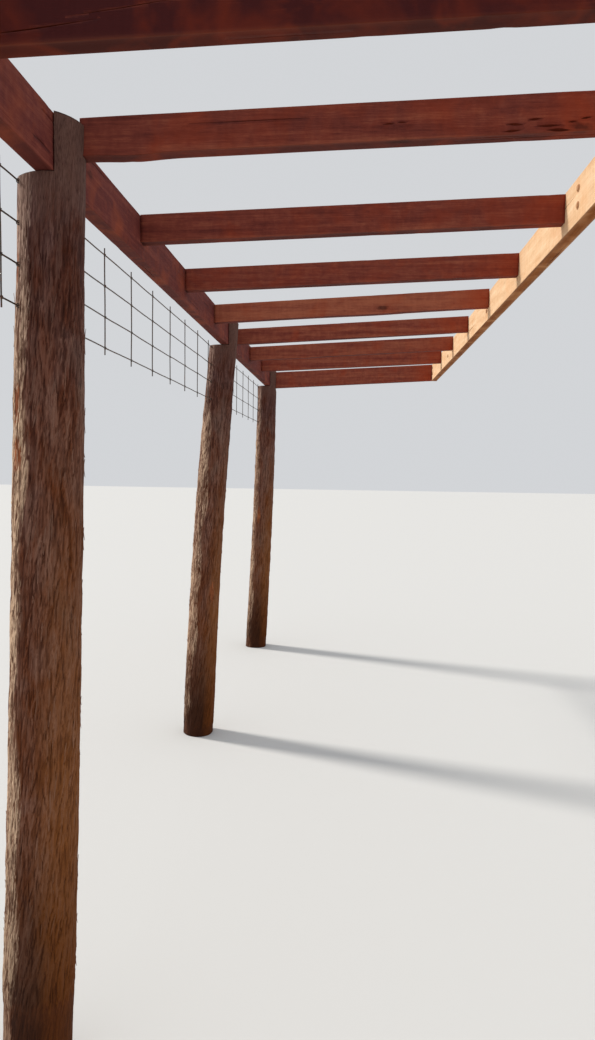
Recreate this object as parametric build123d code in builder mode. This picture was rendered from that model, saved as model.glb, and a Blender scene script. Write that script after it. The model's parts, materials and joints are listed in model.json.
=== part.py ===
"""Timber veranda in millimetres: round log posts carry a sawn edge beam, a ledger
runs along the house side, and open rafters rise gently from the beam to the ledger.

The origin is on the ground in the foot of the first post, in the middle plane of the
first rafter. +X points to the house, +Y runs along the veranda and +Z points up.
"""
from build123d import *
from math import cos, radians, sin, sqrt, tan
import os

# The row of rafters, with one short gap before the second post
rafter_spacing = 750.0
short_gap = 552.0
short_gap_rafter = 4
rafter_count = 12
rafter_depth = 100.0
end_rafter_depth = 150.0
rafter_thickness = 50.0

# How far each rafter is set over the flush line, at the beam and at the ledger
rafter_lifts = [
    (4.0, 0.0), (-6.0, 3.0), (3.0, -4.0), (4.9, -8.2), (13.5, 0.0), (3.5, -3.7),
    (-1.0, -0.5), (-8.0, 13.5), (-11.0, 12.0), (-11.0, 10.0), (0.0, 14.0), (-18.0, 0.0),
]

# The edge beam, on the posts
beam_depth = 150.0
beam_thickness = 50.0
beam_top = 2687.0
beam_inner_x = 33.0
beam_joint_gap = 2.0

# The ledger, on the wall of the house
ledger_depth = 150.0
ledger_thickness = 50.0
ledger_rise = 64.0
clear_width = 1534.0
ledger_joint_rafter = 3
ledger_joint_gap = 2.0

# The holes for the ledger's bolts, in upright pairs
bolt_hole_radius = 6.5
bolt_pair_spacing = 56.0
bolt_pair_rise = 8.0
bolt_pair_pitch = 1725.0
bolt_pair_count = 4
bolt_pair_first_y = 1647.0
bolt_end_distance = 125.0

# The log posts
post_top_radius = 91.0
post_foot_radius = 104.0
post_head_rise = 1.0
post_head_slope = 18.0
post_setback = 13.0
loose_setback = 190.0
post_sections = 7
outline_points = 12
oval_share = 0.035
lobe_share = 0.022
lobe_count = 3
lobe_twist = 230.0
housing_depth = 13.0
housing_play = 0.5

# The wire netting, on the outer side of the posts
netting_x = -75.0
wire_radius = 2.4
wire_sides = 6
wire_count = 4
wire_spacing = 110.0
first_wire_drop = 15.0
stay_spacing = 330.0
stay_tail = 25.0

# Sawn edges
arris = 2.5

# Places worked out from the sizes above
beam_outer_x = beam_inner_x - beam_thickness
beam_underside = beam_top - beam_depth
ledger_face_x = beam_inner_x + clear_width
ledger_top = beam_top + ledger_rise
row_start = -rafter_thickness / 2
row_end = (rafter_count - 2) * rafter_spacing + short_gap + rafter_thickness / 2

# Each post: its rafter, its setback from that rafter, the lean of its foot, its bow and turn.
# A post that is set back by more than its radius is not housed for the rafter.
posts = [
    {"rafter": 0, "setback": post_setback, "foot_x": -50.0, "foot_y": 12.0, "bow": 14.0, "turn": 20.0},
    {"rafter": 4, "setback": post_setback, "foot_x": -70.0, "foot_y": -10.0, "bow": 6.0, "turn": 75.0},
    {"rafter": 8, "setback": loose_setback, "foot_x": -160.0, "foot_y": -25.0, "bow": -22.0, "turn": 140.0},
    {"rafter": 11, "setback": post_setback, "foot_x": -85.0, "foot_y": 8.0, "bow": 12.0, "turn": 230.0},
]


def rafter_y(number):
    """The middle of a rafter along the row."""
    closer = rafter_spacing - short_gap if number >= short_gap_rafter else 0.0
    return number * rafter_spacing - closer


def post_y(post):
    """The axis of a post's head along the row."""
    return rafter_y(post["rafter"]) - post["setback"]


def is_housed(post):
    """Whether the post's rafter runs into its head."""
    return post["setback"] < post_top_radius - rafter_thickness / 2


def rafter_top_at(number, x):
    """The height of one rafter's top edge at a place across the veranda."""
    beam_lift, ledger_lift = rafter_lifts[number]
    climb = ledger_rise + ledger_lift - beam_lift
    return beam_top + beam_lift + climb * (x - beam_inner_x) / clear_width


def post_radius_at(share):
    """The mean radius of a log, from 0 at the ground to 1 at the head."""
    return post_foot_radius + (post_top_radius - post_foot_radius) * sqrt(share)


def log_outline(post, share):
    """Points round a slightly oval and lobed log at one height."""
    turn = radians(post["turn"])
    bend = post["bow"] * sin(radians(180.0 * share))
    middle_x = post["foot_x"] * (1.0 - share) + bend
    middle_y = post_y(post) + post["foot_y"] * (1.0 - share)
    points = []
    for index in range(outline_points):
        angle = radians(360.0 * index / outline_points)
        oval = oval_share * cos(2.0 * angle + turn)
        lobe = lobe_share * cos(lobe_count * angle - turn + radians(lobe_twist * share))
        radius = post_radius_at(share) * (1.0 + oval + lobe)
        points.append((middle_x + radius * cos(angle), middle_y + radius * sin(angle)))
    return points


def rafter_profile(number, start_x, end_x):
    """Corners of a rafter seen from the end of the row, with plumb cut ends."""
    depth = end_rafter_depth if number in (0, rafter_count - 1) else rafter_depth
    start_top = rafter_top_at(number, start_x)
    end_top = rafter_top_at(number, end_x)
    return [
        (start_x, start_top - depth),
        (end_x, end_top - depth),
        (end_x, end_top),
        (start_x, start_top),
    ]


def make_post(number, post):
    """A round log with a sloping head, checked out for the beam and housed for a rafter."""
    head = beam_top + post_head_rise
    side = 2.0 * post_foot_radius
    head_fall = (side - beam_inner_x) * tan(radians(post_head_slope))
    near_side = post_y(post) - side
    with BuildPart() as log:
        for section in range(post_sections):
            share = section / (post_sections - 1)
            with BuildSketch(Plane.XY.offset(head * share)):
                with BuildLine():
                    Spline(*log_outline(post, share), periodic=True)
                make_face()
        loft()
        with BuildSketch(Plane.XY.offset(beam_underside)):
            with Locations((beam_inner_x - side, post_y(post))):
                Rectangle(2.0 * side, 2.0 * side)
        extrude(amount=beam_depth + 2.0 * post_head_rise, mode=Mode.SUBTRACT)
        with BuildSketch(Plane.XZ.offset(-near_side)):
            with BuildLine():
                Polyline((beam_inner_x, head), (side, head), (side, head - head_fall), close=True)
            make_face()
        extrude(amount=-2.0 * side, mode=Mode.SUBTRACT)
        if is_housed(post):
            housing_x = post_top_radius - housing_depth
            near_cheek = rafter_y(post["rafter"]) - rafter_thickness / 2 - housing_play
            with BuildSketch(Plane.XZ.offset(-near_cheek)):
                with BuildLine():
                    Polyline(*rafter_profile(post["rafter"], housing_x, side), close=True)
                make_face()
            extrude(amount=-(rafter_thickness + 2.0 * housing_play), mode=Mode.SUBTRACT)
    log.part.label = f"post_{number}"
    return log.part


def make_beam(number, start_y, end_y):
    """One length of the edge beam, from post to post."""
    with BuildPart() as beam:
        with BuildSketch(Plane.XZ.offset(-start_y)):
            with Locations((beam_inner_x - beam_thickness / 2, beam_top - beam_depth / 2)):
                Rectangle(beam_thickness, beam_depth)
        extrude(amount=-(end_y - start_y))
        chamfer(beam.edges().filter_by(Axis.Y), length=arris)
    beam.part.label = f"edge_beam_{number}"
    return beam.part


def bolt_pairs():
    """Where the ledger's bolt pairs are along the row: one near each end and a row between."""
    inner_pairs = [bolt_pair_first_y + index * bolt_pair_pitch for index in range(bolt_pair_count)]
    return [row_start + bolt_end_distance] + inner_pairs + [row_end - bolt_end_distance]


def make_ledger(number, start_y, end_y):
    """One length of the ledger, drilled for its bolts."""
    middle_z = ledger_top - ledger_depth / 2
    holes = [
        (y, middle_z + bolt_pair_rise + side * bolt_pair_spacing / 2)
        for y in bolt_pairs() if start_y < y < end_y
        for side in (-1, 1)
    ]
    with BuildPart() as ledger:
        with BuildSketch(Plane.XZ.offset(-start_y)):
            with Locations((ledger_face_x + ledger_thickness / 2, middle_z)):
                Rectangle(ledger_thickness, ledger_depth)
        extrude(amount=-(end_y - start_y))
        chamfer(ledger.edges().filter_by(Axis.Y), length=arris)
        with BuildSketch(Plane.YZ.offset(ledger_face_x)):
            with Locations(*holes):
                Circle(bolt_hole_radius)
        extrude(amount=ledger_thickness, mode=Mode.SUBTRACT)
    ledger.part.label = f"ledger_{number}"
    return ledger.part


def make_rafter(number):
    """One rafter, cut plumb at the beam or in a post's housing, and at the ledger."""
    housed = any(post["rafter"] == number and is_housed(post) for post in posts)
    start_x = post_top_radius - housing_depth if housed else beam_inner_x
    near_face = rafter_y(number) - rafter_thickness / 2
    with BuildPart() as rafter:
        with BuildSketch(Plane.XZ.offset(-near_face)):
            with BuildLine():
                Polyline(*rafter_profile(number, start_x, ledger_face_x), close=True)
            make_face()
        extrude(amount=-rafter_thickness)
        long_edges = rafter.edges().filter_by(lambda edge: edge.length > clear_width / 2)
        chamfer(long_edges, length=arris)
    rafter.part.label = f"rafter_{number + 1:02d}"
    return rafter.part


def make_netting(number, posts_and_logs):
    """A band of wires and upright stays between two posts, cut off where it meets the logs."""
    (near_post, near_log), (far_post, far_log) = posts_and_logs
    start_y = post_y(near_post)
    end_y = post_y(far_post)
    band_depth = (wire_count - 1) * wire_spacing
    middle_z = beam_underside - first_wire_drop - band_depth / 2
    stay_length = band_depth + 2.0 * stay_tail
    stay_count = int((end_y - post_foot_radius - start_y) // stay_spacing)
    stays = [(netting_x, start_y + index * stay_spacing) for index in range(1, stay_count + 1)]
    with BuildPart() as netting:
        with BuildSketch(Plane.XZ.offset(-start_y)):
            with Locations((netting_x, middle_z)):
                with GridLocations(wire_spacing, wire_spacing, 1, wire_count):
                    RegularPolygon(wire_radius, wire_sides)
        extrude(amount=-(end_y - start_y))
        with BuildSketch(Plane.XY.offset(middle_z - stay_length / 2)):
            with Locations(*stays):
                RegularPolygon(wire_radius, wire_sides)
        extrude(amount=stay_length)
        add(near_log, mode=Mode.SUBTRACT)
        add(far_log, mode=Mode.SUBTRACT)
    netting.part.label = f"netting_{number}"
    return netting.part


def build_veranda():
    """Every piece of the veranda, in the order it is put up."""
    logs = [make_post(number, post) for number, post in enumerate(posts, start=1)]
    pieces = list(logs)
    joints = [row_start] + [post_y(post) for post in posts[1:-1]] + [row_end]
    for number in range(1, len(joints)):
        start_y = joints[number - 1] + (beam_joint_gap / 2 if number > 1 else 0.0)
        end_y = joints[number] - (beam_joint_gap / 2 if number < len(joints) - 1 else 0.0)
        pieces.append(make_beam(number, start_y, end_y))
    ledger_joint = rafter_y(ledger_joint_rafter) + rafter_thickness / 2
    pieces.append(make_ledger(1, row_start, ledger_joint - ledger_joint_gap / 2))
    pieces.append(make_ledger(2, ledger_joint + ledger_joint_gap / 2, row_end))
    pieces += [make_rafter(number) for number in range(rafter_count)]
    posts_and_logs = list(zip(posts, logs))
    for number in range(1, len(posts)):
        pieces.append(make_netting(number, posts_and_logs[number - 1:number + 1]))
    return pieces


os.makedirs("parts", exist_ok=True)
for piece in build_veranda():
    export_step(piece, f"parts/{piece.label}.step")
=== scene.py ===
"""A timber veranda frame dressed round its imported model, in the order that it is put together:
round logs with fibrous bark, a sawn edge beam, a ledger, open rafters, bolts and screws, and a
band of wire netting. All lengths are in metres, with +X from the beam to the ledger, +Y along
the veranda and +Z up.
"""
import json
import math

import bpy
import numpy as np
from mathutils import Matrix, Vector
from mathutils.bvhtree import BVHTree


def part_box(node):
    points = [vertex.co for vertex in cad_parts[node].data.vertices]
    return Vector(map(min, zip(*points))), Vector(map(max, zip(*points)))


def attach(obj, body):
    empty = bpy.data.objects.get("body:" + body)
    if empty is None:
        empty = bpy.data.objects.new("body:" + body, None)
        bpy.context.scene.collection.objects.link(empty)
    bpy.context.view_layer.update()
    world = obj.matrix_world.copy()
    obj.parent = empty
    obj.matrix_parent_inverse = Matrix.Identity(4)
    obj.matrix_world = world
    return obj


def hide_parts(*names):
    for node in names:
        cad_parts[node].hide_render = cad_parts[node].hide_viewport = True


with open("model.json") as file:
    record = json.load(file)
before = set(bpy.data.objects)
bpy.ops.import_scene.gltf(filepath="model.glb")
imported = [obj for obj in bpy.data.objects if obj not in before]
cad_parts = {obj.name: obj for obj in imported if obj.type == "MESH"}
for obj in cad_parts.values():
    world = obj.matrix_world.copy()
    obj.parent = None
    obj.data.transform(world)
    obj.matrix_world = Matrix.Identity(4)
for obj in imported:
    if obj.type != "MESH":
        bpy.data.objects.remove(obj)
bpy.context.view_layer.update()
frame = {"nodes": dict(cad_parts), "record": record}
scene = bpy.context.scene
scene.view_settings.view_transform = "Standard"

# The camera stands under the rafters at eye height and looks along their row. Its focal length
# goes with the rafters' assumed centres of 750 mm.
eye = Vector((0.830, 0.710, 1.770))
turn_left, tilt, roll = math.radians(4.06), math.radians(-4.03), math.radians(0.80)
focal_pixels = 757.0
picture_height = 1040.0

camera_data = bpy.data.cameras.new("camera")
camera_data.sensor_fit = "VERTICAL"
camera_data.sensor_height = 36.0
camera_data.lens = camera_data.sensor_height * focal_pixels / picture_height
camera = bpy.data.objects.new("camera", camera_data)
level = Matrix.Rotation(turn_left, 4, "Z") @ Matrix.Rotation(math.radians(90.0) + tilt, 4, "X")
camera.matrix_world = Matrix.Translation(eye) @ level @ Matrix.Rotation(roll, 4, "Z")
scene.collection.objects.link(camera)
scene.camera = camera

# A pale floor and an even pale surround stand in for a studio. One wide soft lamp is on the
# posts' outer side, a little behind them, so that the inner side and the posts' edges are lit.
floor_reach = 60.0
floor_corners = [(x * floor_reach, y * floor_reach, 0.0) for x, y in ((-1, -1), (1, -1), (1, 1), (-1, 1))]
floor_mesh = bpy.data.meshes.new("floor")
floor_mesh.from_pydata(floor_corners, [], [(0, 1, 2, 3)])
floor = bpy.data.objects.new("floor", floor_mesh)
scene.collection.objects.link(floor)
floor_paint = bpy.data.materials.new("floor_paint")
floor_paint.use_nodes = True
floor_shader = floor_paint.node_tree.nodes["Principled BSDF"]
floor_shader.inputs["Base Color"].default_value = (0.62, 0.62, 0.61, 1.0)
floor_shader.inputs["Roughness"].default_value = 0.9
floor_mesh.materials.append(floor_paint)

world = bpy.data.worlds.new("surround")
scene.world = world
world.use_nodes = True
surround = world.node_tree.nodes["Background"]
surround.inputs["Color"].default_value = (0.90, 0.92, 0.95, 1.0)
surround.inputs["Strength"].default_value = 0.72

lamp_data = bpy.data.lights.new("wide_lamp", "SUN")
lamp_data.energy = 3.0
lamp_data.angle = math.radians(8.0)
lamp_data.color = (1.0, 0.95, 0.88)
lamp = bpy.data.objects.new("wide_lamp", lamp_data)
lamp.rotation_euler = Vector((0.68, -0.24, -0.62)).to_track_quat("-Z", "Y").to_euler()
scene.collection.objects.link(lamp)

# The posts are round hardwood logs with their fibrous bark left on, and each stands on its
# sawn foot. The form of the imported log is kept, and its bark is laid on it strand by strand.
# The heads are shaved and sawn, with a seat for the beam and a housing for a rafter's end.
log_sides, log_ring_gap = 208, 0.0090
form_sides, form_rings = 72, 56
log_lump, lump_waves, lump_pitch = 0.0011, 8, (15.0, 60.0)
swell_rise, swell_fall = (0.0, 0.12), (0.72, 0.88)
bark_depth = 0.0058
strand_count, furrow_count = 11000, 1500
strand_half_length, furrow_half_length = (0.02, 0.09), (0.02, 0.06)
strand_half_width, furrow_half_width = (0.0014, 0.0033), (0.0012, 0.0020)
strand_level = (-0.0040, -0.0006)
strand_crown, strand_tip_drop = 0.0010, 0.0028
strand_lean_spread = 0.085
strand_wave, strand_wave_pitch = 0.0030, (25.0, 70.0)
foot_fray, torn_fray = 0.05, 1.3
torn_relief, torn_drop = 0.35, 0.0032
shaved_head = 0.40
head_slope = math.radians(9.0)
head_cut_margin = 0.3
housing_play = 0.0005
seat_play = 0.003
# The pale side of each log faces this way, and is partly sun-bleaching and partly painted sunlight.
bleach_and_sunlight_way = np.array((-0.83, -0.56))
bleach_and_sunlight_band, bleach_and_sunlight_wander = (0.62, 0.98), (2.7, 6.1, 14.0)

# For each log: the lean of its strands near the foot, the height of its bare foot, how far it
# swells in the middle, how strongly its pale side shows, partly as sun-bleaching and partly as
# painted sunlight, and the torn places in its bark as height, angle in degrees, half height and
# half width.
log_bark = {
    "post_1": (0.12, 0.10, 0.0010, 0.60, [
        (1.10, 20, 0.05, 0.016), (1.93, 130, 0.07, 0.020), (0.62, 250, 0.04, 0.014)]),
    "post_2": (0.12, 0.235, 0.0050, 1.00, [
        (1.79, -130, 0.042, 0.024), (1.93, -134, 0.050, 0.015), (2.30, -152, 0.060, 0.013),
        (0.84, 60, 0.060, 0.020), (1.42, 150, 0.090, 0.018)]),
    "post_3": (0.10, 0.08, 0.0045, 0.64, [
        (0.95, -60, 0.06, 0.018), (2.06, 170, 0.05, 0.014), (1.55, 70, 0.08, 0.018)]),
    "post_4": (0.15, 0.11, 0.0020, 0.65, [
        (1.30, -100, 0.07, 0.016), (0.70, 10, 0.05, 0.020), (2.20, 200, 0.05, 0.014)]),
}


def smooth_step(value, low, high):
    """A rise from 0 at the low mark to 1 at the high mark, without a corner."""
    share = np.clip((value - low) / (high - low), 0.0, 1.0)
    return share * share * (3.0 - 2.0 * share)


def wrapped(angle):
    """An angle, or many, brought to the range from minus pi to pi."""
    return (angle + math.pi) % (2.0 * math.pi) - math.pi


def corner_points(mesh):
    """The corner points of a mesh, one to a row."""
    return np.array([corner.co for corner in mesh.vertices])


class LogForm:
    """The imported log's round form: a straight line up its middle and a radius all round it."""

    def __init__(self, node, foot, seat_height):
        mesh = frame["nodes"][node].data
        corners = corner_points(mesh)
        head_corners = corners[corners[:, 2] > seat_height + 0.01]
        self.height = float(corners[:, 2].max())
        self.foot = np.array(foot)
        self.head = np.array((0.0, (head_corners[:, 1].min() + head_corners[:, 1].max()) / 2.0, self.height))
        surface = BVHTree.FromPolygons(
            [corner.co for corner in mesh.vertices], [face.vertices for face in mesh.polygons])
        self.angles = np.linspace(-math.pi, math.pi, form_sides, endpoint=False)
        self.levels = np.linspace(0.004, seat_height - 0.006, form_rings)
        ways = [Vector((math.cos(angle), math.sin(angle), 0.0)) for angle in self.angles]
        rows = [
            [surface.ray_cast(Vector(self.middle(level_z)), way)[3] for way in ways]
            for level_z in self.levels
        ]
        rows.append(2.0 * np.array(rows[-1]) - np.array(rows[-2]))
        self.levels = np.append(self.levels, 2.0 * self.levels[-1] - self.levels[-2])
        self.radii = np.array(rows)

    def middle(self, level_z):
        """The point of the log's middle line at a height, or the points at many."""
        share = np.asarray(level_z) / self.height
        return self.foot + (self.head - self.foot) * share[..., None]

    def radius(self, heights, angles):
        """The log's radius on a grid of heights and angles."""
        turned = np.array([np.interp(angles, self.angles, row, period=2.0 * math.pi) for row in self.radii])
        return np.array([np.interp(heights, self.levels, column) for column in turned.T]).T

    def strand_turn(self, heights, lean):
        """How far the strands have turned round the log at a height, as they lean less and less."""
        left = 1.0 - np.clip(heights / self.height, 0.0, 1.0)
        return lean * self.height * (1.0 - left ** 3) / (3.0 * self.radii.mean())


def lay_bark(rng, heights, angles, radius, turn):
    """The level of the bark under its outermost skin, and its tone, on the log's grid."""
    level = np.full((len(heights), len(angles)), -0.75 * bark_depth)
    tone = np.full(level.shape, 0.35)
    step = heights[1] - heights[0]
    for number in range(strand_count + furrow_count):
        is_furrow = number >= strand_count
        half_length = rng.uniform(*(furrow_half_length if is_furrow else strand_half_length))
        half_width = rng.uniform(*(furrow_half_width if is_furrow else strand_half_width))
        middle = rng.uniform(-0.1, heights[-1] + 0.1)
        first = max(0, int((middle - half_length) / step))
        last = min(len(heights), int((middle + half_length) / step) + 1)
        if last <= first:
            continue
        own = heights[first:last]
        along = (own - middle) / half_length
        own_lean = rng.normal(0.0, strand_lean_spread) * (own - middle) / radius
        wave_size = rng.uniform(0.0, strand_wave) / radius
        wave = wave_size * np.sin(own * rng.uniform(*strand_wave_pitch) + rng.uniform(0.0, 6.0))
        side = rng.uniform(-math.pi, math.pi)
        line = side + turn[first:last] - turn[(first + last) // 2] + own_lean + wave
        across = wrapped(angles[None, :] - line[:, None]) * radius / half_width
        rows = level[first:last]
        tones = tone[first:last]
        if is_furrow:
            cut = -bark_depth * (1.0 - 0.5 * along[:, None] ** 2) * (1.0 - 0.3 * across ** 2)
            covered = (np.abs(across) < 1.0) & (cut < rows)
            rows[covered] = cut[covered]
        else:
            crown = rng.uniform(*strand_level) - strand_crown * across ** 2
            lie = crown - strand_tip_drop * np.abs(along[:, None]) ** 5
            covered = (np.abs(across) < 1.0) & (lie > rows)
            rows[covered] = lie[covered]
            tones[covered] = rng.uniform(0.0, 1.0)
    return level, tone


def tear_bark(level, tone, heights, angles, radius, bare_foot, torn_places):
    """Lowers the bark where its outer strands are torn off, and says how bare each place is."""
    strand_ends = tone - 0.5
    foot_line = bare_foot + foot_fray * strand_ends
    bare = 1.0 - smooth_step(heights[:, None], foot_line - 0.012, foot_line + 0.004)
    for height, angle, half_height, half_width in torn_places:
        up = (heights[:, None] - height) / half_height
        across = wrapped(angles[None, :] - math.radians(angle)) * radius / half_width
        reach = up ** 2 + across ** 2 + torn_fray * strand_ends
        bare = np.maximum(bare, 1.0 - smooth_step(reach, 0.85, 1.05))
    return level * (1.0 - bare) + (torn_relief * level - torn_drop) * bare, bare


def give_values(mesh, name, values):
    """Writes one number for each corner point of a mesh."""
    attribute = mesh.attributes.get(name) or mesh.attributes.new(name, "FLOAT", "POINT")
    attribute.data.foreach_set("value", np.ascontiguousarray(values, np.float32).ravel())


def ring_mesh(name, *forms):
    """A mesh of closed forms, each through rings of points that run anticlockwise round its line."""
    points, faces = [], []
    for rings in forms:
        first = len(points)
        count, sides = rings.shape[0], rings.shape[1]
        ring = np.arange(sides)
        following = np.roll(ring, -1)
        start = first + np.arange(count - 1)[:, None] * sides
        quads = np.stack([
            start + ring, start + following, start + sides + following, start + sides + ring], axis=-1)
        faces += quads.reshape(-1, 4).tolist()
        faces.append((ring[::-1] + first).tolist())
        faces.append((ring + first + (count - 1) * sides).tolist())
        points += rings.reshape(-1, 3).tolist()
    mesh = bpy.data.meshes.new(name)
    mesh.from_pydata(points, [], faces)
    return mesh


def new_piece(name, mesh, finish):
    """A mesh as an object of the scene, with its finish."""
    mesh.materials.append(finish)
    piece = bpy.data.objects.new(name, mesh)
    scene.collection.objects.link(piece)
    return piece


def ringed_piece(name, finish, *forms):
    """A piece made of closed forms, each through its rings of points."""
    return new_piece(name, ring_mesh(name, *forms), finish)


def prism(name, outline, near_y, far_y, finish):
    """A cutter with an outline of (x, z) points, clockwise from the near side, along the row."""
    rings = np.array([[(x, y, z) for x, z in outline] for y in (near_y, far_y)])
    return ringed_piece(name, finish, rings)


def cut_with(piece, cutter):
    """Adds a cut to a piece, whose new faces keep the cutter's finish."""
    cut = piece.modifiers.new("cut", "BOOLEAN")
    cut.operation = "DIFFERENCE"
    cut.solver = "MANIFOLD"
    cut.material_mode = "TRANSFER"
    cut.object = cutter


def settle(piece, *helpers):
    """Turns a piece with its modifiers into one plain mesh, and clears its helpers away."""
    bpy.context.view_layer.update()
    seen = piece.evaluated_get(bpy.context.evaluated_depsgraph_get())
    plain = bpy.data.meshes.new_from_object(seen)
    piece.modifiers.clear()
    piece.data = plain
    plain.name = piece.name
    for helper in helpers:
        bpy.data.objects.remove(helper)
    return piece


def hand_over(piece, slot, *nodes):
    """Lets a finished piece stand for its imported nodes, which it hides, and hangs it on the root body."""
    if nodes:
        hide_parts(*nodes)
    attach(piece, "root")


def put(tree, kind, inputs=None, **settings):
    """A node of a tree, with its settings and its inputs by name or number, as values or links."""
    node = tree.nodes.new(kind)
    for setting, value in settings.items():
        setattr(node, setting, value)
    for key, value in (inputs or {}).items():
        if isinstance(value, bpy.types.NodeSocket):
            tree.links.new(value, node.inputs[key])
        else:
            node.inputs[key].default_value = value
    return node


def calculated(tree, operation, *values):
    """One step of arithmetic on one or two values."""
    return put(tree, "ShaderNodeMath", dict(enumerate(values)), operation=operation).outputs[0]


def times(tree, first, second):
    """The product of two values."""
    return calculated(tree, "MULTIPLY", first, second)


def sum_of(tree, *values):
    """The sum of some values, each given with its weight."""
    total = None
    for value, weight in values:
        part = times(tree, value, weight)
        total = part if total is None else calculated(tree, "ADD", total, part)
    return total


def point_value(tree, name):
    """A value that the mesh holds for each of its corner points."""
    return put(tree, "ShaderNodeAttribute", attribute_name=name).outputs["Fac"]


def object_place(tree):
    """Where a point of the surface is on its object."""
    return put(tree, "ShaderNodeTexCoord").outputs["Object"]


def colour(red, green, blue):
    """A colour as it shows on a chart, from 0 to 255, as the linear value that a node takes."""
    return tuple(((part / 255.0 + 0.055) / 1.055) ** 2.4 for part in (red, green, blue)) + (1.0,)


def streaks(tree, place, stretch, scale, detail=3.0, distortion=0.0):
    """Noise from 0 to 1 that is drawn out along the grain."""
    spot = put(tree, "ShaderNodeMapping", {"Vector": place, "Scale": stretch}).outputs["Vector"]
    noise = put(tree, "ShaderNodeTexNoise", {
        "Vector": spot, "Scale": scale, "Detail": detail, "Roughness": 0.6, "Distortion": distortion})
    return noise.outputs["Fac"]


def ranged(tree, value, low, high, at_low=0.0, at_high=1.0):
    """A value spread between two marks, and held at them."""
    return put(tree, "ShaderNodeMapRange", {0: value, 1: low, 2: high, 3: at_low, 4: at_high}).outputs[0]


def mixed(tree, share, under, over, way="MIX"):
    """Two colours mixed, or one laid over the other in another way."""
    inputs = {0: share, 6: under, 7: over}
    return put(tree, "ShaderNodeMix", inputs, data_type="RGBA", blend_type=way).outputs[2]


def ramp(tree, value, low, high, middle=None):
    """A run of colours along a value from 0 to 1."""
    node = put(tree, "ShaderNodeValToRGB", {0: value})
    low_stop, high_stop = node.color_ramp.elements
    low_stop.color, high_stop.color = low, high
    if middle:
        node.color_ramp.elements.new(0.5).color = middle
    return node.outputs[0]


def new_finish(name, roughness, sheen_level):
    """A material with an even roughness and shine, its tree and its shader."""
    finish = bpy.data.materials.new(name)
    finish.use_nodes = True
    shader = finish.node_tree.nodes["Principled BSDF"]
    shader.inputs["Roughness"].default_value = roughness
    shader.inputs["Specular IOR Level"].default_value = sheen_level
    return finish, finish.node_tree, shader


def roughen(tree, shader, relief, strength, depth):
    """Lets a relief from 0 to 1 show in the light on a finish."""
    bump = put(tree, "ShaderNodeBump", {"Height": relief, "Strength": strength, "Distance": depth})
    tree.links.new(bump.outputs[0], shader.inputs["Normal"])


# The bark's finish follows its strands, with the "grain" place that each log's mesh holds. It
# is redder in patches, warmer low down and on its inner side partly as painted bounce light, pale
# on one side partly as sun-bleaching and partly as painted sunlight, darker high up and on the
# shaved head with painted shade, darkened in its furrows with painted shade, orange where it is
# torn, and soiled at the foot. The marks on its height are in metres.
white = colour(255, 255, 255)
bark, tree, shader = new_finish("fibrous_bark", 0.92, 0.18)
grain = put(tree, "ShaderNodeAttribute", attribute_name="grain").outputs["Vector"]
tone, level, bare, weathered, inner_side = [
    point_value(tree, name) for name in ("tone", "level", "bare", "weathered", "inner_side")]
height = put(tree, "ShaderNodeSeparateXYZ", {0: object_place(tree)}).outputs["Z"]
wide_fibre = streaks(tree, grain, (1.0, 1.0, 0.10), 230.0, 4.0, 0.5)
fine_fibre = streaks(tree, grain, (1.0, 1.0, 0.07), 760.0, 3.0, 0.3)
patches = streaks(tree, grain, (1.0, 1.0, 0.4), 13.0, 3.0, 0.6)
grey_places = streaks(tree, grain, (1.0, 1.0, 0.35), 9.0, 2.0, 0.4)
shade = sum_of(tree, (tone, 0.32), (wide_fibre, 0.42), (fine_fibre, 0.26))
skin = ramp(tree, ranged(tree, shade, 0.25, 0.75), colour(72, 44, 40), colour(142, 105, 90), colour(104, 70, 60))
redder = mixed(tree, ranged(tree, patches, 0.42, 0.68), skin, colour(205, 150, 128), "MULTIPLY")
redder = mixed(tree, ranged(tree, grey_places, 0.52, 0.68, 0.0, 0.45), redder, colour(112, 92, 82))
# Warmer low down, partly the bark's own colour and partly painted bounce light from the ground, and warmer still on
# the inner side, where it is painted bounce light.
warm_low_and_bounce = sum_of(tree, (ranged(tree, height, 1.95, 0.50), 0.45), (ranged(tree, patches, 0.35, 0.65), 0.25))
warmer = mixed(tree, warm_low_and_bounce, redder, mixed(tree, 0.70, redder, colour(122, 68, 24)))
bounce_light_inside = times(tree, ranged(tree, height, 2.0, 0.9), inner_side)
warmer = mixed(tree, bounce_light_inside, warmer, mixed(tree, 0.55, warmer, colour(140, 84, 32)))
warmer = mixed(tree, ranged(tree, level, 0.60, 0.95, 0.0, 0.32), warmer, colour(140, 110, 94))

# The pale side is partly sun-bleaching and partly painted sunlight on the side that faces the light.
pale_and_sunlit_skin = mixed(tree, ranged(tree, shade, 0.38, 0.60), colour(118, 82, 62), colour(218, 186, 156))
strand_edge = sum_of(tree, (weathered, 1.0), (shade, 1.1), (patches, -0.6))
bleach_and_sunlight_share = ranged(tree, strand_edge, 0.62, 1.12, 0.0, 0.95)
bleached_and_lit = mixed(tree, bleach_and_sunlight_share, warmer, pale_and_sunlit_skin)

# Painted shade: the bark is darker and a little purple from 1.95 m up, where the beam shades the log's top, and the
# shaved head's grey-brown is kept dark with it.
painted_shade_high = mixed(tree, ranged(tree, height, 1.95, 2.35), white, colour(214, 210, 222))
shaded_high_up = mixed(tree, 1.0, bleached_and_lit, painted_shade_high, "MULTIPLY")
head_skin = mixed(tree, ranged(tree, fine_fibre, 0.3, 0.7), colour(74, 50, 44), colour(112, 82, 72))
headed = mixed(tree, ranged(tree, height, 2.40, 2.60, 0.0, 0.8), shaded_high_up, head_skin)

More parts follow.
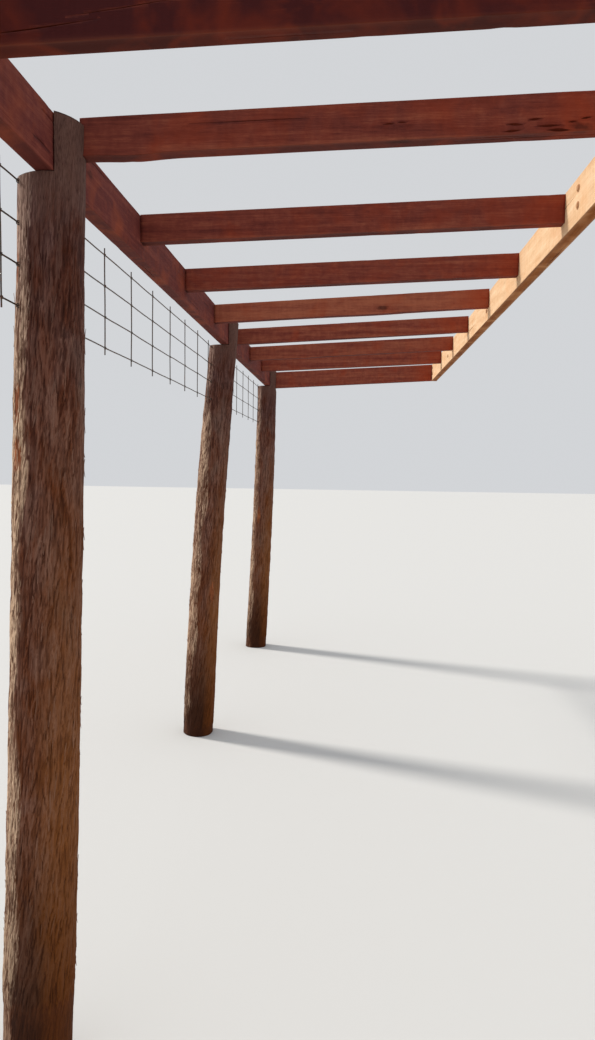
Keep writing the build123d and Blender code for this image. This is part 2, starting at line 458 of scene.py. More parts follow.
torn_skin = ramp(tree, ranged(tree, wide_fibre, 0.3, 0.7), colour(96, 46, 27), colour(194, 118, 74))
pale_foot = times(tree, bleach_and_sunlight_share, ranged(tree, height, 0.40, 0.30))
torn_share = times(tree, bare, ranged(tree, pale_foot, 0.0, 1.0, 1.0, 0.15))
torn = mixed(tree, torn_share, headed, torn_skin)
soil_share = times(
    tree, ranged(tree, height, 0.76, 0.17, 0.0, 0.92), ranged(tree, bleach_and_sunlight_share, 0.0, 1.0, 1.0, 0.35))
# The soil is more orange on the inner side, as painted bounce light.
soil = mixed(tree, ranged(tree, inner_side, 0.40, 1.0), colour(50, 22, 4), colour(96, 48, 4))
soiled = mixed(tree, soil_share, torn, soil)

# Painted shade: the bark is darkened by the depth of its relief, most in the furrows, on top of the shadow that the
# relief casts.
painted_furrow_shade = mixed(tree, ranged(tree, level, 0.05, 0.55), colour(178, 167, 163), white)
creases = mixed(tree, ranged(tree, fine_fibre, 0.30, 0.46), colour(176, 160, 154), white)
furrowed = mixed(tree, 1.0, soiled, painted_furrow_shade, "MULTIPLY")
tree.links.new(mixed(tree, 1.0, furrowed, creases, "MULTIPLY"), shader.inputs["Base Color"])
roughen(tree, shader, sum_of(tree, (wide_fibre, 0.55), (fine_fibre, 0.45)), 0.65, 0.0018)

# Where the log is sawn, its growth rings show round its middle. The sapwood outside is paler,
# and the face is greyed by weather in places.
log_cut, tree, shader = new_finish("sawn_log", 0.85, 0.25)
grain = put(tree, "ShaderNodeAttribute", attribute_name="grain").outputs["Vector"]
flat_grain = put(tree, "ShaderNodeVectorMath", {0: grain, 1: (1.0, 1.0, 0.0)}, operation="MULTIPLY").outputs[0]
from_pith = put(tree, "ShaderNodeVectorMath", {0: flat_grain}, operation="LENGTH").outputs["Value"]
wander = streaks(tree, grain, (1.0, 1.0, 0.1), 30.0, 3.0)
rings_wave = calculated(tree, "SINE", sum_of(tree, (from_pith, 1500.0), (wander, 9.0)))
cut_fibre = streaks(tree, grain, (1.0, 1.0, 0.05), 420.0, 3.0)
wood = mixed(tree, ranged(tree, rings_wave, -1.0, 1.0), colour(134, 88, 64), colour(170, 118, 86))
wood = mixed(tree, ranged(tree, from_pith, 0.066, 0.082), wood, colour(186, 142, 106))
wood = mixed(tree, ranged(tree, wander, 0.40, 0.66, 0.0, 0.6), wood, colour(112, 92, 80))
wood = mixed(tree, ranged(tree, cut_fibre, 0.35, 0.65, 0.35, 0.0), wood, colour(70, 44, 32))
tree.links.new(wood, shader.inputs["Base Color"])
roughen(tree, shader, cut_fibre, 0.5, 0.001)

# Slivers of the bark stand loose on each log. They are thin and bent, and lie along its strands,
# from above the bare foot to below the shaved head.


def tree_inputs(tree, *names_kinds_values):
    """Gives a geometry tree its inputs and its one output, and returns the inputs by name."""
    for name, kind, value in names_kinds_values:
        socket = tree.interface.new_socket(name, in_out="INPUT", socket_type=f"NodeSocket{kind}")
        if value is not None:
            socket.default_value = value
    tree.interface.new_socket("Geometry", in_out="OUTPUT", socket_type="NodeSocketGeometry")
    return tree.nodes.new("NodeGroupInput").outputs


def run_tree(piece, tree, **values):
    """Adds a geometry tree to a piece, with its inputs set by their sockets' identifiers."""
    modifier = piece.modifiers.new(tree.name, "NODES")
    modifier.node_group = tree
    for item in tree.interface.items_tree:
        name = item.name.lower().replace(" ", "_")
        if item.in_out == "INPUT" and name in values:
            modifier[item.identifier] = values[name]


def random_number(tree, low, high, seed):
    """A number for each point or copy, between two marks."""
    inputs = {2: low, 3: high, "Seed": seed}
    return put(tree, "FunctionNodeRandomValue", inputs, data_type="FLOAT").outputs[1]


def turned_about_x(tree, angle):
    """A turn about X by an angle."""
    return put(tree, "FunctionNodeAxisAngleToRotation", {0: (1.0, 0.0, 0.0), 1: angle}).outputs[0]


def joined(tree, *geometries):
    """Some geometries as one."""
    whole = put(tree, "GeometryNodeJoinGeometry")
    for geometry in geometries:
        tree.links.new(geometry, whole.inputs[0])
    return whole.outputs[0]


tree = loose_bark = bpy.data.node_groups.new("loose_bark", "GeometryNodeTree")
given = tree_inputs(
    tree, ("Geometry", "Geometry", None), ("Per Area", "Float", 170.0), ("Length", "Float", 0.055),
    ("Width", "Float", 0.0042), ("Thickness", "Float", 0.0011), ("Lowest", "Float", 0.25),
    ("Highest", "Float", 2.3), ("Lean", "Float", 0.1), ("Seed", "Int", 1), ("Bark", "Material", None))
spot = put(tree, "ShaderNodeSeparateXYZ", {0: put(tree, "GeometryNodeInputPosition").outputs[0]}).outputs["Z"]
above = put(tree, "FunctionNodeCompare", {0: spot, 1: given["Lowest"]}, operation="GREATER_THAN").outputs[0]
below = put(tree, "FunctionNodeCompare", {0: spot, 1: given["Highest"]}, operation="LESS_THAN").outputs[0]
on_bark = put(tree, "FunctionNodeBooleanMath", {0: above, 1: below}, operation="AND").outputs[0]
spread = put(tree, "GeometryNodeDistributePointsOnFaces", {
    "Mesh": given["Geometry"], "Selection": on_bark, "Density": given["Per Area"], "Seed": given["Seed"]})
upright = put(tree, "FunctionNodeAlignRotationToVector", {"Vector": spread.outputs["Normal"]},
              axis="X", pivot_axis="Z").outputs[0]
tip = calculated(tree, "SUBTRACT", random_number(tree, -0.18, 0.08, 3), given["Lean"])
lie = put(tree, "FunctionNodeRotateRotation", {0: upright, 1: turned_about_x(tree, tip)},
          rotation_space="LOCAL").outputs[0]

# One sliver is a unit block that curls away from the log and narrows towards its ends.
sliver = put(tree, "GeometryNodeMeshCube", {
    "Size": (1.0, 1.0, 1.0), "Vertices X": 2, "Vertices Y": 2, "Vertices Z": 6}).outputs["Mesh"]
own = put(tree, "ShaderNodeSeparateXYZ", {0: put(tree, "GeometryNodeInputPosition").outputs[0]}).outputs
square = times(tree, own["Z"], own["Z"])
pull = times(tree, own["Y"], times(tree, square, -3.2))
bend = put(tree, "ShaderNodeCombineXYZ", {0: times(tree, square, 8.0), 1: pull}).outputs[0]
sliver = put(tree, "GeometryNodeSetPosition", {"Geometry": sliver, "Offset": bend}).outputs[0]
own_length = times(tree, random_number(tree, 0.35, 1.5, 5), given["Length"])
own_width = times(tree, random_number(tree, 0.5, 1.4, 7), given["Width"])
own_size = put(tree, "ShaderNodeCombineXYZ", {0: given["Thickness"], 1: own_width, 2: own_length}).outputs[0]
slivers = put(tree, "GeometryNodeInstanceOnPoints", {
    "Points": spread.outputs["Points"], "Instance": sliver, "Rotation": lie, "Scale": own_size}).outputs[0]
for name, value in (("tone", random_number(tree, 0.1, 1.0, 9)), ("level", 1.0), ("bare", 0.0)):
    slivers = put(tree, "GeometryNodeStoreNamedAttribute", {"Geometry": slivers, "Name": name, "Value": value},
                  data_type="FLOAT", domain="INSTANCE").outputs[0]
slivers = put(tree, "GeometryNodeRealizeInstances", {0: slivers}).outputs[0]
slivers = put(tree, "GeometryNodeSetMaterial", {"Geometry": slivers, "Material": given["Bark"]}).outputs[0]
put(tree, "NodeGroupOutput", {0: joined(tree, slivers, given["Geometry"])})


def board_ends(node, along):
    """The middles of a packed board's two ends, and its width and depth, along X (0) or Y (1)."""
    corners = corner_points(frame["nodes"][node].data)
    places = corners[:, along]
    start = corners[places < places.min() + 1e-4]
    end = corners[places > places.max() - 1e-4]
    sizes = start.max(0) - start.min(0)
    width = (corners.max(0) - corners.min(0))[1 - along]
    return (start.min(0) + start.max(0)) / 2.0, (end.min(0) + end.max(0)) / 2.0, width, sizes[2]


def head_cutters(node, form):
    """What is sawn off a log's head: the beam's seat, and a housing if a rafter ends in it."""
    outer_x, inner_x = beam_high.x - head_cut_margin, beam_high.x + head_cut_margin
    over = form.height + head_cut_margin
    seat_x, seat_z = beam_high.x + seat_play, beam_low.z - 0.5 * seat_play
    cutters = [prism("seat", [
        (outer_x, seat_z), (outer_x, over), (inner_x, over),
        (inner_x, form.height - math.tan(head_slope) * head_cut_margin),
        (seat_x, form.height), (seat_x, seat_z),
    ], form.head[1] - head_cut_margin, form.head[1] + head_cut_margin, log_cut)]
    if node in housed_rafters:
        start, end, width, depth = board_ends(housed_rafters[node], 0)
        climb = (end[2] - start[2]) / (end[0] - start[0])
        under = start[2] - depth / 2.0 - seat_play
        cutters.append(prism("housing", [
            (start[0], under), (start[0], over), (inner_x, over),
            (inner_x, under + climb * (inner_x - start[0])),
        ], start[1] - width / 2.0 - housing_play, start[1] + width / 2.0 + housing_play, log_cut))
    return cutters


def give_bark_places(mesh, form, lean, bleach_and_sunlight, rng, number):
    """Writes where each point is along the strands, how far it lies on the pale side that is partly sun-bleaching
    and partly painted sunlight, and how far it faces inside, where painted bounce light goes.
    """
    corners = np.empty(len(mesh.vertices) * 3, np.float32)
    mesh.vertices.foreach_get("co", corners)
    corners = corners.reshape(-1, 3).astype(float)
    offset = corners - form.middle(corners[:, 2])
    turn = -form.strand_turn(corners[:, 2], lean)
    grain_place = np.stack([
        offset[:, 0] * np.cos(turn) - offset[:, 1] * np.sin(turn),
        offset[:, 0] * np.sin(turn) + offset[:, 1] * np.cos(turn),
        corners[:, 2] + number,
    ], axis=-1)
    grain_values = mesh.attributes.new("grain", "FLOAT_VECTOR", "POINT")
    grain_values.data.foreach_set("vector", np.ascontiguousarray(grain_place, np.float32).ravel())
    outward = offset[:, :2] / np.maximum(np.hypot(offset[:, 0], offset[:, 1]), 0.001)[:, None]
    wander = sum(np.sin(corners[:, 2] * pitch + rng.uniform(0.0, 6.3)) for pitch in bleach_and_sunlight_wander)
    facing = outward @ bleach_and_sunlight_way + 0.05 * wander
    give_values(mesh, "weathered", bleach_and_sunlight * smooth_step(facing, *bleach_and_sunlight_band))
    give_values(mesh, "inner_side", smooth_step(outward[:, 0], -0.1, 0.9))


record = frame["record"]
feet = [mount["pos_m"] for mount in record["mounts"] if mount["name"].startswith("post_foot")]
housed_rafters = {"post_1": "rafter_01", "post_2": "rafter_05", "post_4": "rafter_12"}
beam_low, beam_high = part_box("edge_beam_1")
forms = []

for number, foot in enumerate(feet, start=1):
    node = f"post_{number}"
    lean, bare_foot, log_swell, bleach_and_sunlight, torn_places = log_bark[node]
    rng = np.random.default_rng(40 + number)
    form = LogForm(node, foot, beam_low.z)
    forms.append(form)
    mean_radius = form.radii.mean()
    heights = np.linspace(0.0, form.height, int(form.height / log_ring_gap))
    angles = np.linspace(-math.pi, math.pi, log_sides, endpoint=False)
    level, tone = lay_bark(rng, heights, angles, mean_radius, form.strand_turn(heights, lean))
    level, bare = tear_bark(level, tone, heights, angles, mean_radius, bare_foot, torn_places)
    shaved = smooth_step(heights, form.height - shaved_head, form.height - 0.4 * shaved_head)[:, None]
    share = heights / form.height
    full = (smooth_step(share, *swell_rise) * (1.0 - smooth_step(share, *swell_fall)))[:, None]
    waves = [
        np.sin(heights[:, None] * rng.uniform(*lump_pitch) + angles * rng.integers(-4, 5) + rng.uniform(0.0, 6.3))
        for _ in range(lump_waves)
    ]
    swell = full * (log_swell + log_lump * sum(waves) / math.sqrt(len(waves)))
    level = level * (1.0 - 0.7 * shaved)
    reach = form.radius(heights, angles) + level + swell
    middles = form.middle(heights)
    rings = np.empty(reach.shape + (3,))
    rings[..., 0] = middles[:, None, 0] + reach * np.cos(angles)
    rings[..., 1] = middles[:, None, 1] + reach * np.sin(angles)
    rings[..., 2] = heights[:, None]
    mesh = ring_mesh(f"log_{number}", rings)
    give_values(mesh, "level", 1.0 + level / bark_depth)
    give_values(mesh, "tone", tone)
    give_values(mesh, "bare", bare)
    mesh.polygons.foreach_set("use_smooth", [True] * len(mesh.polygons))
    log = new_piece(f"log_{number}", mesh, bark)
    cutters = head_cutters(node, form)
    for cutter in cutters:
        cut_with(log, cutter)
    run_tree(log, loose_bark, lowest=bare_foot + 0.05, highest=form.height - shaved_head, lean=0.5 * lean,
             seed=number, bark=bark)
    settle(log, *cutters)
    give_bark_places(log.data, form, lean, bleach_and_sunlight, rng, number)
    hand_over(log, "log", node)

# The edge beam is rough sawn red hardwood, 150 by 50 mm, in three lengths that lie in the
# posts' seats and meet over the posts, where drying has opened checks in their ends. A board
# is drawn from its packed ends, with worn arrises, an uneven skin, and splits cut into it.
board_arris, arris_limits = 0.0021, (0.0008, 0.0066)
bruise_depth, bruise_reach = (0.001, 0.0042), (0.008, 0.035)
board_relief = 0.0009
long_board_stations = 0.018
near_arris_steps = np.array([0.0, 0.0011, 0.0022, 0.0040, 0.0070])
split_stand_out, split_tip = 0.002, 0.06
split_half_width, split_depth = (0.0006, 0.0016), (0.004, 0.008)
lane_pitch, lane_margins = 0.014, (0.013, 0.012)
end_check_lanes, end_check_half_width, end_check_depth = (-0.048, 0.006, 0.052), 0.0013, 0.012
# The upright sides of a rafter are its far and near ones, and those of a board that runs
# along the veranda its outer and inner ones.
board_sides = {"under": 0, "far": 1, "outer": 1, "top": 2, "near": 3, "inner": 3}
side_corners = np.array([(-0.5, -0.5), (0.5, -0.5), (0.5, 0.5), (-0.5, 0.5)])
side_ways = np.array([(1.0, 0.0), (0.0, 1.0), (-1.0, 0.0), (0.0, -1.0)])
inward_ways = np.array([(0.0, 1.0), (-1.0, 0.0), (0.0, -1.0), (1.0, 0.0)])


def sawn_finish(name, axis, dark, middle, light, warm, under, bounce_light_marks, knottiness):
    """Rough sawn hardwood: streaks and growth bands along one axis, knots and saw marks, painted shade on the faces
    that look down, and painted bounce light between two marks along the axis.
    """
    finish, tree, shader = new_finish(name, 0.84, 0.14)
    place = object_place(tree)
    stretch, far_stretch, saw_stretch, cells = [1.0] * 3, [1.0] * 3, [0.07] * 3, [1.0] * 3
    stretch[axis], far_stretch[axis], saw_stretch[axis], cells[axis] = 0.05, 0.014, 1.0, 0.36
    tone, edge = point_value(tree, "tone"), point_value(tree, "edge")
    broad = streaks(tree, place, far_stretch, 34.0, 4.0, 0.4)
    bands = streaks(tree, place, far_stretch, 11.0, 2.0, 0.6)
    fibre = streaks(tree, place, stretch, 420.0, 3.0)
    pores = streaks(tree, place, stretch, 1300.0, 2.0)
    saw_marks = streaks(tree, place, saw_stretch, 70.0, 2.0, 0.3)
    patches = streaks(tree, place, (1.0, 1.0, 1.0), 7.0, 3.0, 0.5)
    mottle = streaks(tree, place, (0.5, 0.5, 0.5), 60.0, 3.0, 0.5)
    wave = calculated(tree, "SINE", sum_of(tree, (bands, 95.0), (fibre, 1.5)))
    shade = sum_of(
        tree, (broad, 0.20), (fibre, 0.27), (pores, 0.14), (mottle, 0.19), (wave, 0.018), (tone, 0.20))
    skin = ramp(tree, ranged(tree, shade, 0.30, 0.72), dark, light, middle)
    marked = mixed(tree, ranged(tree, saw_marks, 0.34, 0.60), colour(247, 245, 244), white)
    skinned = mixed(tree, 1.0, skin, marked, "MULTIPLY")

    # Painted shade: faces that look down take the underside colour, with warm bounce light in it, streaked by the
    # tone.
    facing = put(tree, "ShaderNodeNewGeometry").outputs["Normal"]
    facing_up = put(tree, "ShaderNodeSeparateXYZ", {0: facing}).outputs["Z"]
    underside_shade = mixed(tree, ranged(tree, shade, 0.62, 0.30), under, colour(190, 176, 170), "MULTIPLY")
    skinned = mixed(tree, ranged(tree, facing_up, -0.4, -0.8), skinned, underside_shade)

    # Warm patches of the wood's own colour, and painted bounce light that warms a board from the first to the second
    # mark along its axis: on a rafter, its ledger end. The beam's and the ledger's marks lie past their ends.
    along = put(tree, "ShaderNodeSeparateXYZ", {0: place}).outputs[axis]
    bounce_glow_end = ranged(tree, along, *bounce_light_marks)
    warm_patches_and_bounce = sum_of(tree, (ranged(tree, patches, 0.48, 0.72), 0.5), (bounce_glow_end, 0.6))
    warmth = calculated(tree, "MINIMUM", warm_patches_and_bounce, 1.0)
    warmed = mixed(tree, warmth, skinned, mixed(tree, 0.7, skinned, warm))

    spot = put(tree, "ShaderNodeMapping", {"Vector": place, "Scale": cells}).outputs["Vector"]
    wobble = put(tree, "ShaderNodeTexNoise", {"Vector": place, "Scale": 60.0}).outputs["Color"]
    wobble = put(tree, "ShaderNodeVectorMath", {0: wobble, "Scale": 0.012}, operation="SCALE").outputs[0]
    wavy = put(tree, "ShaderNodeVectorMath", {0: spot, 1: wobble}).outputs[0]
    knot = put(tree, "ShaderNodeTexVoronoi", {"Vector": wavy, "Scale": 6.5}, feature="F1").outputs["Distance"]
    knotted = mixed(tree, ranged(tree, knot, 0.10, 0.05, 0.0, knottiness), warmed,
                    mixed(tree, 0.7, warmed, colour(46, 18, 14)))
    rubbed = times(tree, edge, ranged(tree, broad, 0.35, 0.65, 0.0, 0.22))
    tree.links.new(mixed(tree, rubbed, knotted, light), shader.inputs["Base Color"])
    roughen(tree, shader, sum_of(tree, (fibre, 0.50), (pores, 0.30), (broad, 0.30), (saw_marks, 0.12)), 0.55, 0.0015)
    return finish


def side_steps(length, pitch=0.011):
    """Places along one side of a board's section, closer together near its arrises."""
    flat_start = near_arris_steps[-1]
    count = max(2, round((length - 2.0 * flat_start) / pitch) + 1)
    inner = np.linspace(flat_start, length - flat_start, count)[1:-1]
    return np.concatenate([near_arris_steps, inner, length - near_arris_steps[:0:-1]])


def ripple(rng, along, across, long_waves, wide_waves, count=7):
    """A gentle unevenness from -1 to 1, mostly drawn out along the grain."""
    total = 0.0
    for _ in range(count):
        long_wave = np.sin(along * (2.0 * math.pi / rng.uniform(*long_waves)) + rng.uniform(0.0, 6.3))
        wide_wave = np.sin(across * (2.0 * math.pi / rng.uniform(*wide_waves)) + rng.uniform(0.0, 6.3))
        total = total + long_wave * wide_wave
    return total / math.sqrt(count)


class Board:
    """The place of a packed board: its line, its section and the two ways across it."""

    def __init__(self, node, along):
        self.start, self.end, self.width, self.depth = board_ends(node, along)
        self.length = float(np.linalg.norm(self.end - self.start))
        self.sizes = np.array([self.width, self.depth])
        across = (0.0, 1.0, 0.0) if along == 0 else (-1.0, 0.0, 0.0)
        self.ways = np.array([across, (0.0, 0.0, 1.0)])

    def point(self, run, flat):
        """Points from distances along the board and (across, up) offsets from its middle line."""
        line = self.start + (self.end - self.start) * (np.asarray(run) / self.length)[..., None]
        return line + np.asarray(flat) @ self.ways

    def side_length(self, side):
        """How wide a side is: the board's width underneath and on top, else its depth."""
        return self.sizes[0] if side in (0, 2) else self.sizes[1]


def worn_arrises(rng, board, run):
    """How far each of the four arrises is worn at each station, with a few bruises."""
    arrises = []
    for _ in range(4):
        size = board_arris * (1.0 + 0.35 * ripple(rng, run, 0.0, (0.15, 0.9), (1.0, 2.0)))
        for _ in range(rng.integers(1, 4)):
            middle, reach = rng.uniform(0.0, board.length), rng.uniform(*bruise_reach)
            size = size + rng.uniform(*bruise_depth) * np.exp(-((run - middle) / reach) ** 2)
        arrises.append(np.clip(size, *arris_limits))
    return arrises


def sawn_board(rng, board, station_gap, belly=None, given_tone=None):
    """A board's skin on its stations, with the distance to the arris and the tone of each point."""
    count = int(board.length / station_gap) + 1
    run = np.linspace(0.0, board.length, count)[:, None]
    arrises = worn_arrises(rng, board, run)
    flats, edges, tones = [], [], []
    own_tone = rng.uniform(0.30, 0.70)
    if given_tone is not None:
        own_tone = given_tone
    for side in range(4):
        length = board.side_length(side)
        place = side_steps(length)[None, :]
        from_start, to_end = place, length - place
        inward = np.zeros((count, place.shape[1]))
        shift = np.zeros_like(inward)
        for gap, size, sign in ((from_start, arrises[side], 1.0), (to_end, arrises[(side + 1) % 4], -1.0)):
            turn = math.pi / 4.0 * (1.0 - np.minimum(gap / size, 1.0))
            on_arris = gap < size
            inward = inward + np.where(on_arris, size * (1.0 - np.cos(turn)), 0.0)
            shift = shift + np.where(on_arris, sign * (size * (1.0 - np.sin(turn)) - gap), 0.0)
        nearest = np.minimum(from_start, to_end)
        uneven = 0.5 + 0.4 * np.clip(ripple(rng, run, place, (0.05, 0.5), (0.02, 0.12)), -1.2, 1.2)
        inward = inward + board_relief * uneven * smooth_step(nearest, 0.002, 0.012)
        corner = side_corners[side] * board.sizes
        flats.append(corner + (place + shift)[..., None] * side_ways[side] + inward[..., None] * inward_ways[side])
        edges.append(np.broadcast_to(1.0 - smooth_step(nearest, 0.001, 0.010), inward.shape))
        tones.append(own_tone + 0.28 * ripple(rng, run, place, (0.3, 1.6), (0.02, 0.10)))
    flat = np.concatenate(flats, axis=1)
    if belly:
        middle, reach, drop = belly
        low = smooth_step(0.35 - flat[..., 1] / board.depth, 0.0, 0.7)
        flat[..., 1] -= drop * low * np.exp(-((run - middle) / reach) ** 2)
    return board.point(run, flat), np.concatenate(edges, axis=1), np.concatenate(tones, axis=1)


def split(board, side, path, half_width, depth, open_start=False):
    """A thin wedge along a path of (run, offset) points on one side, pointed at its ends."""
    share = np.linspace(0.0 if open_start else -1.0, 1.0, 9)
    runs, offsets = [np.interp(share, np.linspace(share[0], 1.0, len(path)), line) for line in np.array(path).T]
    opening = np.maximum(1.0 - np.abs(share) ** 1.6, split_tip)
    way, inward = side_ways[side], inward_ways[side]
    face = -0.5 * inward * board.sizes
    rings = []
    for run, offset, own_opening in zip(runs, offsets, opening):
        half, deep = half_width * own_opening, depth * own_opening
        middle = face + way * offset
        mouth = middle - split_stand_out * inward
        flat = [mouth - way * half * 1.2, mouth + way * half * 1.2, middle + inward * deep]
        rings.append(board.point(np.array([run] * 3), np.array(flat)))
    return np.array(rings)


def grain_path(rng, lane, runs, step, spread):
    """A path that keeps near its lane on a side and wanders a little, as the grain does."""
    return np.stack([runs, lane + step * np.cumsum(rng.normal(0.0, spread, len(runs)))], axis=-1)


def drying_splits(rng, board, kept_sides=()):
    """Splits along the grain, in lanes on each side that isn't kept whole."""
    wedges = []
    for side in range(4):
        if side in kept_sides:
            continue
        half = 0.5 * board.side_length(side)
        lanes = np.arange(-half + lane_margins[0], half - lane_margins[1], lane_pitch)
        shuffled = rng.permutation(lanes)
        for lane in shuffled[:rng.integers(2, 5) if len(lanes) > 4 else 2]:
            reach = rng.uniform(0.04, 0.20)
            middle = rng.uniform(reach + 0.06, board.length - reach - 0.06)
            path = grain_path(rng, lane, np.linspace(middle - reach, middle + reach, 9), 0.003, 0.28)
            half_width = rng.uniform(*split_half_width)
            wedges.append(split(board, side, path, half_width, rng.uniform(*split_depth)))
    return wedges


def build_board(rng, board, name, station_gap, finish, wedges, belly=None, given_tone=None):
    """The finished board, with its splits still to be cut into it by their cutter."""
    rings, edge, tone = sawn_board(rng, board, station_gap, belly, given_tone)
    mesh = ring_mesh(name, rings)
    give_values(mesh, "edge", edge)
    give_values(mesh, "tone", tone)
    mesh.polygons.foreach_set("use_smooth", [True] * (len(mesh.polygons) - 2) + [False] * 2)
    piece = new_piece(name, mesh, finish)
    cutter = ringed_piece("splits", split_wood, *wedges)
    cut_with(piece, cutter)
    return piece, cutter


# The fifth colour is the beam's underside, in painted shade.
beam_wood = sawn_finish(
    "beam_hardwood", 1, colour(66, 25, 25), colour(101, 45, 40), colour(142, 76, 60),
    colour(168, 78, 38), colour(92, 39, 32), (60.0, 61.0), 0.8)

# The inside of a split or of a gum pocket is dark, with a little red in it.
split_wood, tree, shader = new_finish("split_wood", 0.9, 0.05)
split_mottle = streaks(tree, object_place(tree), (1.0, 1.0, 1.0), 160.0)
tree.links.new(mixed(tree, split_mottle, colour(62, 20, 12), colour(98, 38, 22)), shader.inputs["Base Color"])

for number in (1, 2, 3):
    node = f"edge_beam_{number}"
    rng = np.random.default_rng(300 + number)
    board = Board(node, 1)
    wedges = drying_splits(rng, board)
    for side in (board_sides["outer"], board_sides["inner"]):
        for lane in end_check_lanes:
            reach = rng.uniform(0.05, 0.16)
            path = grain_path(rng, lane, np.linspace(-0.01, reach, 6), 0.004, 0.3)
            far_path = path * (-1.0, 1.0) + (board.length, 0.0)
            wedges.append(split(board, side, path, end_check_half_width, end_check_depth, True))
            wedges.append(split(board, side, far_path, end_check_half_width, end_check_depth, True)[::-1])
    piece, cutter = build_board(rng, board, f"sawn_{node}", long_board_stations, beam_wood, wedges)
    settle(piece, cutter)
    hand_over(piece, "beam_timber", node)

# The ledger is rough sawn hardwood of the beam's size, in two lengths that meet by a rafter. It
# is lighter and more orange, and is drilled for pairs of bolts, one over the other.
bolt_hole_radius, bolt_hole_run = 0.0065, (-0.07, 0.02)
ledger_face_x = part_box("ledger_1")[0].x
# Its underside is a darker orange, in painted shade with bounce light in it.
ledger_wood = sawn_finish(
    "ledger_hardwood", 1, colour(204, 158, 114), colour(230, 192, 152), colour(244, 218, 184),
    colour(220, 160, 108), colour(142, 80, 24), (60.0, 61.0), 0.2)
bolt_places = []
for mount in record["mounts"]:
    if mount["kind"] == "bolt_pattern":
        reach = mount["dims"]["spacing_y_mm"] / 2000.0
        for side in (-1.0, 1.0):
            bolt_places.append(np.array(mount["pos_m"]) + (0.0, 0.0, side * reach))


def round_form(profile, sides, middle=(0.0, 0.0, 0.0)):
    """Rings round a line along X through a point, from (place along X, radius) pairs."""
    turn = np.linspace(0.0, 2.0 * math.pi, sides, endpoint=False)
    return np.array([
        [(middle[0] + along, middle[1] + radius * math.cos(angle), middle[2] + radius * math.sin(angle))
         for angle in turn]
        for along, radius in profile
    ])


for number in (1, 2):
    node = f"ledger_{number}"
    rng = np.random.default_rng(400 + number)
    board = Board(node, 1)
    wedges = drying_splits(rng, board, [board_sides["inner"]])
    piece, cutter = build_board(rng, board, f"sawn_{node}", long_board_stations, ledger_wood, wedges)
    holes = ringed_piece("bolt_holes", split_wood, *[
        round_form([(along, bolt_hole_radius) for along in bolt_hole_run], 24, place)
        for place in bolt_places if board.start[1] < place[1] < board.end[1]])
    cut_with(piece, holes)
    settle(piece, cutter, holes)
    hand_over(piece, "ledger_timber", node)

# The rafters are rough sawn red hardwood, 100 by 50 mm, and the first and last are 150 deep.
# They are butted between the beam and the ledger, or housed in a log. The splits and gum pockets
# that show in the photo are cut into them at the same places.
rafter_stations = 0.012
# The rafters' undersides are in painted shade, and their ledger ends, from 1.28 m along, take painted bounce light.
rafter_wood = sawn_finish(
    "rafter_hardwood", 0, colour(68, 24, 24), colour(118, 55, 44), colour(158, 90, 66),
    colour(150, 54, 20), colour(90, 39, 31), (1.28, 1.60), 0.9)
# Each is given by its side, its half width and depth, and its path as distances from the
# rafter's beam end and offsets from the middle of that side.
seen_splits = {
    "rafter_04": [
        ("near", 0.0015, 0.010, [
            (0.060, 0.028), (0.085, 0.0268), (0.120, 0.0249), (0.177, 0.0208), (0.248, 0.0141), (0.290, 0.0100)]),
        ("near", 0.0010, 0.007, [
            (0.215, 0.0045), (0.248, 0.0011), (0.288, -0.0025), (0.338, -0.0069), (0.388, -0.0122),
            (0.431, -0.0158), (0.50, -0.020)]),
        ("under", 0.0008, 0.005, [(0.52, 0.006), (0.66, 0.004), (0.79, 0.005)]),
    ],
    "rafter_05": [
        ("near", 0.0056, 0.0032, [(1.130, 0.0235), (1.157, 0.0255), (1.183, 0.0275)]),
        ("near", 0.0054, 0.0032, [(1.188, 0.0165), (1.207, 0.0150), (1.230, 0.0143)]),
        ("near", 0.0054, 0.0032, [(1.125, 0.0435), (1.150, 0.0420), (1.180, 0.0400)]),
        ("near", 0.0050, 0.0034, [(1.205, 0.0325), (1.240, 0.0335), (1.285, 0.0325)]),
        ("near", 0.0058, 0.0045, [(1.236, 0.0440), (1.270, 0.0450), (1.303, 0.0470)]),
        ("near", 0.0042, 0.0028, [(1.290, 0.0270), (1.303, 0.0260), (1.318, 0.0250)]),
        ("near", 0.0044, 0.0030, [(1.322, 0.0200), (1.338, 0.0180), (1.354, 0.0165)]),
        ("near", 0.0044, 0.0026, [(0.812, 0.0088), (0.832, 0.0075), (0.850, 0.0080)]),
        ("near", 0.0038, 0.0026, [(0.853, 0.0060), (0.866, 0.0055), (0.880, 0.0062)]),
        ("near", 0.0008, 0.0050, [(0.30, -0.020), (0.42, -0.018), (0.55, -0.019), (0.63, -0.017)]),
    ],
}
# A belly is given as its middle from the beam end, its reach and how far it hangs.
rafter_bellies = {
    "rafter_05": (0.145, 0.075, 0.005), "rafter_08": (0.9, 0.2, 0.003), "rafter_10": (0.4, 0.15, 0.003)}
# How light each board is that shows in the photo, from dark (below 0) to light (over 1); the dark of
# rafter_04 is painted shade. Drying splits are left off the near side of these, and off any side
# whose own splits are given.
rafter_tones_and_shade = {
    "rafter_04": -0.9, "rafter_05": 0.45, "rafter_06": 0.45, "rafter_07": 0.55, "rafter_08": 1.3,
    "rafter_09": 0.85, "rafter_10": 0.95, "rafter_11": 0.8, "rafter_12": 0.85}

